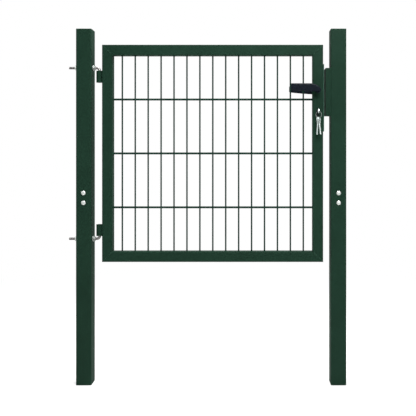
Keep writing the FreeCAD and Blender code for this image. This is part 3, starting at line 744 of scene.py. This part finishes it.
# %% Hook bolts in place
for level, way in (("upper", -1), ("lower", 1)):
    rod_path, straight = hook_path(*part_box(level + "_hinge_bolt"), way)
    rod_rule = threaded_radius(PIN_RADIUS, M10_PITCH, 0, straight - 1 * MM, rod_path[-1][0], 1 * MM)
    rod = bmesh.new()
    swept_rod(rod, rod_path, rod_rule, across=BACK)
    place_piece(level + "_hook_bolt", rod, rod_zinc_painted_shade, "posts", sharp=50, instead_of=level + "_hinge_bolt")

# %% [markdown]
# ## Nuts and washers
# A forged nut is a hexagon whose corners are turned off by a 30 degree chamfer, which leaves the curved
# edges that everyone knows without noticing. An ordinary hexagonal prism lacks them and looks like a toy.
# The shape is where a hexagon and a cone overlap, so each ring of points simply takes the smaller of the two
# radii. A Boolean modifier would cut the same shape but leave long thin faces that shade badly.

# %% Nut and washer helpers
NUT_FACE = 0.96
NUT_CHAMFER = math.radians(30)
WASHER_EDGE = 0.22


def turned_part(mesh, foot, axis, profile, sides=60):
    """Turns pairs of radius and height about an axis; a radius may depend on the angle."""
    foot = Vector(foot)
    skin(mesh, [ring(foot + axis * height, axis, radius, sides) for radius, height in profile], closed=True)


def hexagon(flats, limit, start):
    """The radius of a hexagon at an angle, cut down to a limit."""
    def rule(angle):
        turn = (angle - start) % (math.pi / 3) - math.pi / 6
        return min(flats / 2 / math.cos(turn), limit)
    return rule


def nut(mesh, foot, axis, flats, height, bore, pitch, start=0.0):
    """A chamfered nut with a countersunk bore."""
    corner, face = flats / math.sqrt(3), flats / 2 * NUT_FACE
    cut = (corner - face) * math.tan(NUT_CHAMFER)
    profile = [(hexagon(flats, face + (corner - face) * share, start), cut * share)
               for share in evenly(0, 1, 5)]
    profile += [(limit, height - rise) for limit, rise in reversed(profile)]
    mouth, sink = bore + pitch * 0.5, pitch * 0.5
    profile += [(mouth, height), (bore, height - sink), (bore, sink), (mouth, 0)]
    turned_part(mesh, foot, axis, profile)


def washer(mesh, foot, axis, radius, thickness, bore):
    """A stamped washer: rounded by the punch on one face, sharp on the other."""
    soft = thickness * WASHER_EDGE
    turned_part(mesh, foot, axis,
                [(radius, 0), (radius, thickness - soft), (radius - soft * 0.3, thickness - soft * 0.3),
                 (radius - soft, thickness), (bore + soft, thickness), (bore, thickness - soft), (bore, 0)])


print("17 mm over the flats is", round(17 / math.cos(math.pi / 6), 1), "mm over the corners")

# %% [markdown]
# ## Nuts on the hook bolts
# Each hook bolt is clamped to the post by a nut and a washer on both faces, which also set how far the leaf
# stands off. Their places could be typed in, but read from the CAD parts' boxes they follow any change. So
# only the spanner size of a 10 mm nut is written here.

# %% Hinge nuts and washers
M10_FLATS = 17 * MM
for level in ("upper", "lower"):
    for side, way in (("outer", -1), ("inner", 1)):
        near = 0 if way > 0 else 1
        nut_box, washer_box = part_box(f"{level}_{side}_nut"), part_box(f"{level}_{side}_washer")
        washer_size, nut_size = washer_box[1] - washer_box[0], nut_box[1] - nut_box[0]
        centre_z = (nut_box[0].z + nut_box[1].z) / 2
        hinge_washer, hinge_nut = bmesh.new(), bmesh.new()
        washer(hinge_washer, (washer_box[near].x, 0, centre_z), RIGHT * way, washer_size.z / 2,
               washer_size.x, bore=PIN_RADIUS + 0.3 * MM)
        nut(hinge_nut, (nut_box[near].x, 0, centre_z), RIGHT * way, M10_FLATS, nut_size.x,
            bore=PIN_RADIUS - 0.2 * MM, pitch=M10_PITCH, start=math.pi / 6)
        place_piece(f"{level}_{side}_hinge_washer", hinge_washer, nut_zinc_painted_shade, "posts",
                    instead_of=f"{level}_{side}_washer")
        place_piece(f"{level}_{side}_hinge_nut", hinge_nut, nut_zinc_painted_shade, "posts", sharp=25,
                    instead_of=f"{level}_{side}_nut")

# %% [markdown]
# ## Bolts through the posts
# Two domed bolts cross each post from the front. Such a cup-head bolt has a low round head with a thin rim
# and nothing to grip, so that it can only be undone from the back, where its threaded end stands out of a
# nut. A squashed sphere would do for the head from afar, but it has no rim. So the head is turned ring by
# ring, and the threaded end uses the same thread rule as the hook bolts.

# %% Cup bolt
SHANK_RADIUS = 4 * MM
M8_PITCH = 1.25 * MM
M8_FLATS = 13 * MM
M8_THREAD = 12 * MM
HEAD_RADIUS = 9 * MM
HEAD_RIM = 0.9 * MM
DOME_STEPS = 9
DOME_END = math.radians(87.097)


def cup_bolt(mesh, centre, head, shank):
    """A domed head with a tiny flat on top, and a shank whose end is threaded."""
    rings = [ring(centre, -BACK, HEAD_RADIUS * 0.985, 48)]
    for angle in evenly(0, DOME_END, DOME_STEPS):
        rise = HEAD_RIM + (head - HEAD_RIM) * math.sin(angle) / math.sin(DOME_END)
        rings.append(ring(centre - BACK * rise, -BACK, HEAD_RADIUS * math.cos(angle), 48))
    skin(mesh, rings)
    plain = shank - M8_THREAD
    stations = [0.0] + evenly(plain, shank, int(M8_THREAD / THREAD_STEP))
    rule = threaded_radius(SHANK_RADIUS, M8_PITCH, plain, shank, shank, chamfer=0.8 * MM)
    swept_rod(mesh, [(travel, centre + BACK * travel, BACK) for travel in stations], rule,
              across=RIGHT, sides=24)


print("turns of thread on a post bolt:", round(M8_THREAD / M8_PITCH, 1))

# %% Post bolts in place
for post_name in ("hinge_post", "latch_post"):
    for level in ("lower", "upper"):
        name = f"{post_name}_{level}"
        bolt_low, bolt_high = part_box(name + "_bolt")
        nut_low, nut_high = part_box(name + "_nut")
        centre = Vector(((bolt_low.x + bolt_high.x) / 2, post_front, (bolt_low.z + bolt_high.z) / 2))
        bolt, back_nut = bmesh.new(), bmesh.new()
        cup_bolt(bolt, centre, post_front - bolt_low.y, bolt_high.y - post_front)
        nut(back_nut, (centre.x, nut_low.y, centre.z), BACK, M8_FLATS, nut_high.y - nut_low.y,
            bore=SHANK_RADIUS - 0.15 * MM, pitch=M8_PITCH)
        place_piece(name + "_cup_bolt", bolt, bolt_zinc, "posts", sharp=50, instead_of=name + "_bolt")
        place_piece(name + "_back_nut", back_nut, bolt_zinc, "posts", sharp=25, instead_of=name + "_nut")

# %% [markdown]
# ## The levers' outline
# Both sides of the lock have the same short lever: a broad nylon blade that points at the hinges, flat on
# top, with a slightly bellied underside, and rounded where it turns on its neck. The outline could be a
# list of measured points, but its top is a straight line, one large arc and the nose's arc, which meet
# without a kink. So it is worked out from the lengths and radii, which a maker would put on the drawing.

# %% Lever outline
spindle_low, spindle_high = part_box("handle_spindle")
lever_low, lever_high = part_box("front_handle")
spindle = (spindle_low + spindle_high) / 2
NOSE = 8.0 * MM
FLAT_TOP = 74 * MM
TIP_RISE = 0.5 * MM
BELLY = 5.0 * MM
lever_length = spindle.x - lever_low.x
flat_height = lever_high.z - spindle.z
bend_start = lever_length - FLAT_TOP
fall = (bend_start ** 2 + flat_height ** 2 - NOSE ** 2) / (2 * (flat_height - NOSE))
nose_joint = -NOSE * math.sin(math.atan2(bend_start, fall - flat_height))
print("lever length:", round(lever_length / MM, 1), "mm, arc radius:", round(fall / MM, 1), "mm")


def lever_top(out):
    """Height of the top line above the spindle, at a distance out from it."""
    if out >= bend_start:
        return flat_height
    if out > nose_joint:
        return flat_height - fall + math.sqrt(fall ** 2 - (bend_start - out) ** 2)
    return math.sqrt(max(0.0, NOSE ** 2 - out ** 2))


def lever_bottom(out):
    """Depth of the underside below the spindle."""
    if out < 0:
        return math.sqrt(max(0.0, NOSE ** 2 - out ** 2))
    share = out / lever_length
    belly = BELLY - (NOSE - TIP_RISE) / 2
    return NOSE - (TIP_RISE + NOSE) * share + belly * 4 * share * (1 - share)


# %% [markdown]
# ## The levers' body
# A lever's skin is gently crowned everywhere, because moulded parts shrink as they cool and designers avoid
# flat faces. We could start from a box with a subdivision surface, but then the rounded nose drifts away
# from its size. A loft keeps it: we walk along the lever and draw a soft-cornered section between its top
# line and its underside. The neck is turned, with the fine line of its collar.

# %% Lever blade
LEVER_SOFT = 3.0 * MM
LEVER_CORNER = 0.30
THINNEST = 0.35 * MM


def squarish(value, power):
    """Pushes a sine or cosine outwards, which gives a circle corners."""
    return math.copysign(abs(value) ** power, value)


def edge_rounding(inside):
    """How far a soft edge draws in, at a distance from the end."""
    return LEVER_SOFT - math.sqrt(max(0.0, LEVER_SOFT ** 2 - max(0.0, LEVER_SOFT - inside) ** 2))


def lever(mesh, back_y, front_y):
    """The lever's blade between two depths, lofted from its tip to its nose."""
    full = lever_length - LEVER_SOFT
    stations = [full + LEVER_SOFT * math.cos(angle) for angle in evenly(0, math.pi / 2, 6)]
    stations += evenly(full, bend_start, 8)[1:] + evenly(bend_start, 0, 10)[1:]
    stations += [-NOSE * math.sin(angle) for angle in evenly(0, math.pi / 2, 12)[1:-1]]
    rings = []
    for out in stations:
        top, bottom = lever_top(out), -lever_bottom(out)
        half_z = max((top - bottom) / 2 - edge_rounding(lever_length - out), THINNEST)
        half_y = abs(front_y - back_y) / 2 - edge_rounding(min(lever_length - out, out + NOSE))
        middle = Vector((spindle.x - out, (back_y + front_y) / 2, spindle.z + (top + bottom) / 2))
        rings.append([middle + BACK * half_y * squarish(c, LEVER_CORNER)
                      + UP * half_z * squarish(s, LEVER_CORNER) for _, c, s in circle(48)])
    skin(mesh, rings)


print("lever height at the spindle:", round((lever_top(0) + lever_bottom(0)) / MM, 1), "mm")

# %% Levers in place
BLADE_DEPTH = 11 * MM
NECK_OVERLAP = 3 * MM
NECK_RADIUS = 7.5 * MM
NECK_PROFILE = ((0.94, 0.0), (1.0, 0.015), (1.0, 0.22), (0.93, 0.24), (0.93, 0.27), (0.985, 0.29),
                (0.95, 0.55), (0.95, 0.72), (0.97, 0.86), (1.0, 0.93), (1.0, 1.0))
for side, name in ((-1, "front"), (1, "back")):
    neck_y, face_y = sorted((corner.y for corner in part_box(name + "_handle")), key=abs)
    blade_y = face_y - side * BLADE_DEPTH
    neck = blade_y + side * NECK_OVERLAP - neck_y
    handle = bmesh.new()
    lever(handle, blade_y, face_y)
    skin(handle, [ring((spindle.x, neck_y + neck * share, spindle.z), BACK, NECK_RADIUS * reach, 40)
                  for reach, share in NECK_PROFILE])
    place_piece(name + "_lever", handle, lever_nylon, "handle", sharp=60, instead_of=name + "_handle")

# %% [markdown]
# ## Roses
# A rose is the small collar that hides the hole in the tube and carries the neck. It is a turned part: a
# flange on the tube, a rounded shoulder and a rim round the neck. A cylinder with a bevel would lose the
# rim. A turned profile that closes on itself round the bore keeps it, and is the whole part in one row of
# radius and height pairs.

# %% Roses
ROSE_BORE = 7.6 * MM
ROSE_RIM = ((1.9, 0.76), (1.6, 0.92), (1.0, 1.0), (0.3, 1.0), (0.0, 0.94), (0.0, 0.0))
for side, name in ((-1, "front_rose"), (1, "back_rose")):
    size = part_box(name)[1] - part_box(name)[0]
    radius, depth = size.x / 2, size.y
    profile = [(radius, 0), (radius, depth * 0.32)]
    for angle in evenly(0, math.pi / 2, 4):
        shoulder = radius - 1.4 * MM + 1.1 * MM * math.cos(angle)
        profile.append((shoulder, depth * (0.36 + 0.40 * math.sin(angle))))
    profile += [(ROSE_BORE + out * MM, depth * share) for out, share in ROSE_RIM]
    rose = bmesh.new()
    turned_part(rose, (spindle.x, side * leaf_high.y, spindle.z), BACK * side, profile, 56)
    place_piece(name + "_cover", rose, lever_nylon, "leaf", sharp=30, instead_of=name)

# %% [markdown]
# ## The keys
# Three keys of the same lock hang here: one is in the cylinder, and two spares are on the split ring. A
# cylinder key is a stamped brass blank with a nickel skin. Its round bow has a hole for the ring and a
# coined, slightly thinner middle, and its blade has a milled groove down each side and sloping cuts along
# one edge. A flat outline with a bevel would give the bow but not the groove, so the bow is a plate with a
# hole, built as rings round the hole, and the blade is a loft whose section has the groove in it. The
# section and the depths of the cuts are listed in millimetres.

# %% Key blade
KEY_THICK = 2.2 * MM
BOW_RADIUS = 10 * MM
HOLE_RADIUS = 4.0 * MM
BOW_DROP = BOW_RADIUS - 3 * MM - HOLE_RADIUS
SHOULDER = BOW_DROP + BOW_RADIUS + 6 * MM
BLADE_LENGTH = 44 * MM
BLADE_HALF = 4 * MM
TIP_LENGTH, TIP_SLOPE = 3 * MM, 4 / 3
KEY_CUTS = (2.0, 1.2, 2.6, 1.6, 2.2)
FIRST_CUT, CUT_PITCH = 9 * MM, 6.5 * MM
CUT_HALF, CUT_SLOPE = 0.6 * MM, 0.6
BLADE_SECTION = ((-4.0, 0.35), (-3.6, 0), (-2.5, 0), (-2.2, 0.55), (-0.9, 0.55), (-0.6, 0), (0.5, 0),
                 (0.8, 0.4), (1.4, 0.4), (3.6, 0), (4.0, 0.35))


def key_tip(along):
    """How much the blade's end narrows, at a distance from the shoulder."""
    return max(0.0, (along - (BLADE_LENGTH - TIP_LENGTH)) * TIP_SLOPE)


def key_edge(along):
    """How deep the cuts are, at a distance from the shoulder."""
    deepest = key_tip(along)
    for i, depth in enumerate(KEY_CUTS):
        away = abs(along - (FIRST_CUT + CUT_PITCH * i)) - CUT_HALF
        deepest = max(deepest, min(depth * MM, depth * MM - away / CUT_SLOPE))
    return deepest


def key_blade(mesh, turn):
    """The blade, with a groove down each side and the cuts in its +X edge."""
    rings = []
    for along in evenly(0, BLADE_LENGTH, 108):
        top, low = BLADE_HALF - key_edge(along), -BLADE_HALF + key_tip(along)
        front = [(min(max(x * MM, low), top), KEY_THICK / 2 - depth * MM) for x, depth in BLADE_SECTION]
        back = [(x, -y) for x, y in reversed(front)]
        rings.append([turn @ Vector((x, y, -SHOULDER - along)) for x, y in front + back])
    skin(mesh, rings)


print("cuts in a key:", len(KEY_CUTS), "over", round(CUT_PITCH * (len(KEY_CUTS) - 1) / MM, 1), "mm")

# %% Key bow
NECK_HALF, FLARE_HALF = 5.0 * MM, 6.6 * MM
FLARE_DROP, FLARE_PULL = 1.2 * MM, 0.6
NECK_OVERRUN = 0.6 * MM
BOW_SECTION = ((1.0, 0.70), (0.985, 1.0), (0.84, 1.0), (0.80, 0.72), (0.22, 0.72), (0.17, 1.0), (0.03, 1.0),
               (0.0, 0.75))


def bow_rim(c, s):
    """The bow's outline: a round that flares into the neck."""
    rim = Vector((BOW_RADIUS * c, -BOW_DROP + BOW_RADIUS * s))
    if s < -0.2 and abs(rim.x) < NECK_HALF:
        rim.y = min(rim.y, -SHOULDER - NECK_OVERRUN)
    elif s < 0 and abs(rim.x) < FLARE_HALF:
        rim.y -= (FLARE_HALF - abs(rim.x)) / (FLARE_HALF - NECK_HALF) * FLARE_DROP
        rim.x = math.copysign(NECK_HALF + (abs(rim.x) - NECK_HALF) * FLARE_PULL, rim.x)
    return rim


def key_bow(mesh, turn):
    """The bow with its hole, rim and neck, as rings that close round the hole."""
    rings = []
    for share, level in BOW_SECTION + tuple((share, -level) for share, level in reversed(BOW_SECTION)):
        spots = [(Vector((c, s)) * HOLE_RADIUS).lerp(bow_rim(c, s), share) for _, c, s in circle(96)]
        rings.append([turn @ Vector((spot.x, KEY_THICK / 2 * level, spot.y)) for spot in spots])
    skin(mesh, rings, closed=True)


key_length = BOW_RADIUS - BOW_DROP + SHOULDER + BLADE_LENGTH
print("key length:", round(key_length / MM, 1), "mm")

# %% [markdown]
# ## Where the keys hang
# The first key sits upright in the cylinder. The ring hangs from the hole in its bow and stands at an angle
# to the gate, and the two spares hang from the ring's lowest stretch and lean apart. A rigid body simulation
# could drop them there, but it would settle a little differently after each change, so their places are
# worked out.

# %% Keys in place
CYLINDER_DROP = 8.5 * MM
RING_RADIUS = 12.5 * MM
RING_HANG = HOLE_RADIUS - 1.5 * MM
RING_ANGLE = math.radians(35)
SPARE_ANGLE = math.radians(10)
SPARE_TURN = math.radians(55)
cylinder_low, cylinder_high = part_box("lock_cylinder")
key_hole = Vector((spindle.x, cylinder_low.y - SHOULDER, cylinder_high.z - CYLINDER_DROP))
ring_centre = key_hole - UP * (RING_HANG + RING_RADIUS)
ring_side = Vector((math.cos(RING_ANGLE), -math.sin(RING_ANGLE), 0))


def spare_turn(way, lean):
    """Where a spare key hangs: on the ring's lowest stretch, leaning away from the other."""
    out = ring_side * way * math.sin(SPARE_ANGLE) - UP * math.cos(SPARE_ANGLE)
    turn = Matrix.Rotation(SPARE_TURN, 4, "Z") @ Matrix.Rotation(math.radians(-way * lean), 4, "X")
    place = ring_centre + out * RING_RADIUS - turn @ UP * RING_HANG
    return Matrix.Translation(place) @ turn


quarter = math.radians(90)
in_lock = Matrix.Translation(key_hole) @ Matrix.Rotation(quarter, 4, "X") @ Matrix.Rotation(quarter, 4, "Z")
for name, turn, body in (("key_in_lock", in_lock, "leaf"), ("left_spare_key", spare_turn(-1, 4.0), "keys"),
                         ("right_spare_key", spare_turn(1, 6.0), "keys")):
    key = bmesh.new()
    key_blade(key, turn)
    key_bow(key, turn)
    place_piece(name.replace("key", "coined_key"), key, key_nickel, body, sharp=30, instead_of=name)

# %% [markdown]
# ## The split ring
# A split ring is two turns of flattened spring wire that lie against each other, with a short step where
# each end crosses over. A torus would pass at a distance, but the line between the two coils is what makes
# it read as a key ring. It is one wire swept twice round, and it climbs by its own thickness in the step.

# %% Split ring
RING_WIRE = 0.98 * MM
COIL_GAP = 1.02
COIL_START = 1.1
STEP_SHARE = 0.10
TURNS, STEPS = 2, 200
ring_axis = ring_side.cross(UP)
rings = []
for i in range(STEPS + 1):
    turns = TURNS * i / STEPS
    climb = min(1.0, max(0.0, (turns - 1 + STEP_SHARE) / STEP_SHARE))
    angle = 2 * math.pi * turns + COIL_START
    out = ring_side * math.cos(angle) + UP * math.sin(angle)
    centre = ring_centre + out * RING_RADIUS + ring_axis * (climb - 0.5) * RING_WIRE * COIL_GAP
    end_fade = min(1.0, 0.35 + min(i, STEPS - i) * 0.25)
    rings.append([centre + (out * c + ring_axis * squarish(s, 0.7) / 2) * RING_WIRE * end_fade
                  for _, c, s in circle(14)])
coil = bmesh.new()
skin(coil, rings)
place_piece("split_ring", coil, ring_steel, "keys", instead_of="key_ring")

# %% [markdown]
# ## Faces of the lock
# On the outside of a cylinder lock one sees the end of the plug: a disc that turns in the fixed round, with
# a slot for the key. A Boolean modifier could cut the slot into a plain disc. Here the disc's rings run from
# the slot's outline to the rim instead, which gives a real slot and clean faces, once on each side.

# %% Cylinder plugs
PLUG_RADIUS, PLUG_THICK, PLUG_SEAT = 6.4 * MM, 0.7 * MM, 0.2 * MM
SLOT_WIDTH, SLOT_HEIGHT = 2.6 * MM, 8.4 * MM
SLOT_SIDES, SLOT_ENDS = 2.2, 0.8
PLUG_SECTION = ((0.0, 0.0), (0.0, 0.75), (0.06, 1.0), (0.90, 1.0), (0.97, 0.85), (1.0, 0.55), (1.0, 0.0))


def slotted_disc(mesh, centre, facing):
    """A disc with rounded rim and an upright slot."""
    rings = []
    for share, level in PLUG_SECTION:
        points = []
        for _, c, s in circle(72):
            slot = Vector((SLOT_WIDTH / 2 * max(-1.0, min(1.0, c * SLOT_SIDES)),
                           SLOT_HEIGHT / 2 * squarish(s, SLOT_ENDS)))
            spot = slot.lerp(Vector((PLUG_RADIUS * c, PLUG_RADIUS * s)), share)
            points.append(centre + Vector((spot.x, facing * PLUG_THICK * level, spot.y)))
        rings.append(points)
    skin(mesh, rings, closed=True)


for facing, side, face_y in ((-1, "front", cylinder_low.y), (1, "back", cylinder_high.y)):
    plug = bmesh.new()
    slotted_disc(plug, Vector((spindle.x, face_y - facing * PLUG_SEAT, key_hole.z)), facing)
    place_piece(side + "_cylinder_plug", plug, cylinder_coat, "leaf", sharp=30)

# %% [markdown]
# ## Screws of the faceplate
# The faceplate on the stile's edge is held by two countersunk screws with a cross recess, which stay just
# proud of it. A picture of a cross would do from afar, but the recess is pressed in for real, so that it
# keeps its own shadow when the gate swings open.

# %% Faceplate screws
SCREW_RADIUS = 3.6 * MM
SCREW_INSET = 12 * MM
CROSS_HALF, CROSS_REACH, CROSS_DEPTH = 0.16, 0.6, 0.9 * MM
HEAD_DOME, RIM_DEPTH = 0.22 * MM, 0.3 * MM
SCREW_RINGS = (1.0, 0.96, 0.86, 0.62, 0.56, 0.50, 0.44, 0.36, 0.28, 0.20, 0.12, 0.06)


def screw_rise(reach, y, z):
    """How far the head stands out of the plate: sunk rim, low dome, deep cross."""
    if reach < CROSS_REACH and min(abs(y), abs(z)) < SCREW_RADIUS * CROSS_HALF:
        return -CROSS_DEPTH
    return HEAD_DOME * math.sqrt(1 - reach ** 2) if reach < 1 else -RIM_DEPTH


plate_low, plate_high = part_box("lock_faceplate")
screws = bmesh.new()
for screw_z in (plate_low.z + SCREW_INSET, plate_high.z - SCREW_INSET):
    rings = []
    for reach in SCREW_RINGS:
        spots = [(SCREW_RADIUS * reach * c, SCREW_RADIUS * reach * s) for _, c, s in circle(64)]
        rings.append([(plate_high.x + screw_rise(reach, y, z), y, screw_z + z) for y, z in spots])
    skin(screws, rings)
place_piece("faceplate_screws", screws, lock_steel, "leaf", sharp=30)

# %% [markdown]
# ## Floor
# The gate stands on a plain pale floor that fades into the white background, so only its soft shadow shows.
# A shadow catcher is a render setting, and would vanish from the exported scene. Here the floor is a matt,
# almost white surface, and to the camera it also glows a little, which closes the gap between a well lit
# floor and the white behind it. The glow never reaches the gate's paint, because it is mixed in for camera
# and mirror rays only.

# %% Floor
FLOOR_GAP = 0.5 * MM
floor_mesh = bmesh.new()
bmesh.ops.create_grid(floor_mesh, x_segments=8, y_segments=8, size=40)
floor_data = bpy.data.meshes.new("floor")
floor_mesh.to_mesh(floor_data)
floor_mesh.free()
floor = add_to_scene("floor", floor_data)
floor.location = (gate_middle.x, 0, cad_box[0][2] - FLOOR_GAP)
print("floor at", round(floor.location.z, 4))

# %% Floor finish
GLOW_NEAR, GLOW_FAR = 0.6, 2.6
pale = bpy.data.materials.new("pale_floor")
pale.use_nodes = True
tree = pale.node_tree
matt = tree.nodes["Principled BSDF"]
matt.inputs["Roughness"].default_value = 0.95
matt.inputs["Specular IOR Level"].default_value = 0.1
speckle = add_node(tree, "TexNoise", {"Scale": 30.0, "Detail": 4.0}).outputs["Fac"]
tree.links.new(remap(tree, speckle, (0.0, 1.0), (0.86, 0.90)), matt.inputs["Base Color"])
glow = add_node(tree, "Emission", {"Color": (1, 1, 1, 1), "Strength": 1.0}).outputs["Emission"]
ray = add_node(tree, "LightPath").outputs
floor_place = add_node(tree, "TexCoord").outputs["Object"]
away = add_node(tree, "VectorMath", {0: floor_place}, operation="LENGTH").outputs["Value"]
glow_share = remap(tree, away, (GLOW_NEAR, GLOW_FAR), (0.6, 1.0), interpolation_type="SMOOTHSTEP")
mirrored = reckon(tree, "MAXIMUM", ray["Is Camera Ray"], ray["Is Glossy Ray"])
blend = add_node(tree, "MixShader", {0: reckon(tree, "MULTIPLY", mirrored, glow_share),
                                     1: matt.outputs["BSDF"], 2: glow}).outputs["Shader"]
tree.links.new(blend, tree.nodes["Material Output"].inputs["Surface"])
floor.data.materials.append(pale)
print("floor finish:", pale.name)

# %% [markdown]
# ## Sizes
# The box of the CAD gate is printed at the end. The dressed gate must be no bigger than
# the CAD gate.

# %% Finish
bpy.context.view_layer.update()
print("cad box:", [[round(v, 4) for v in corner] for corner in cad_box])
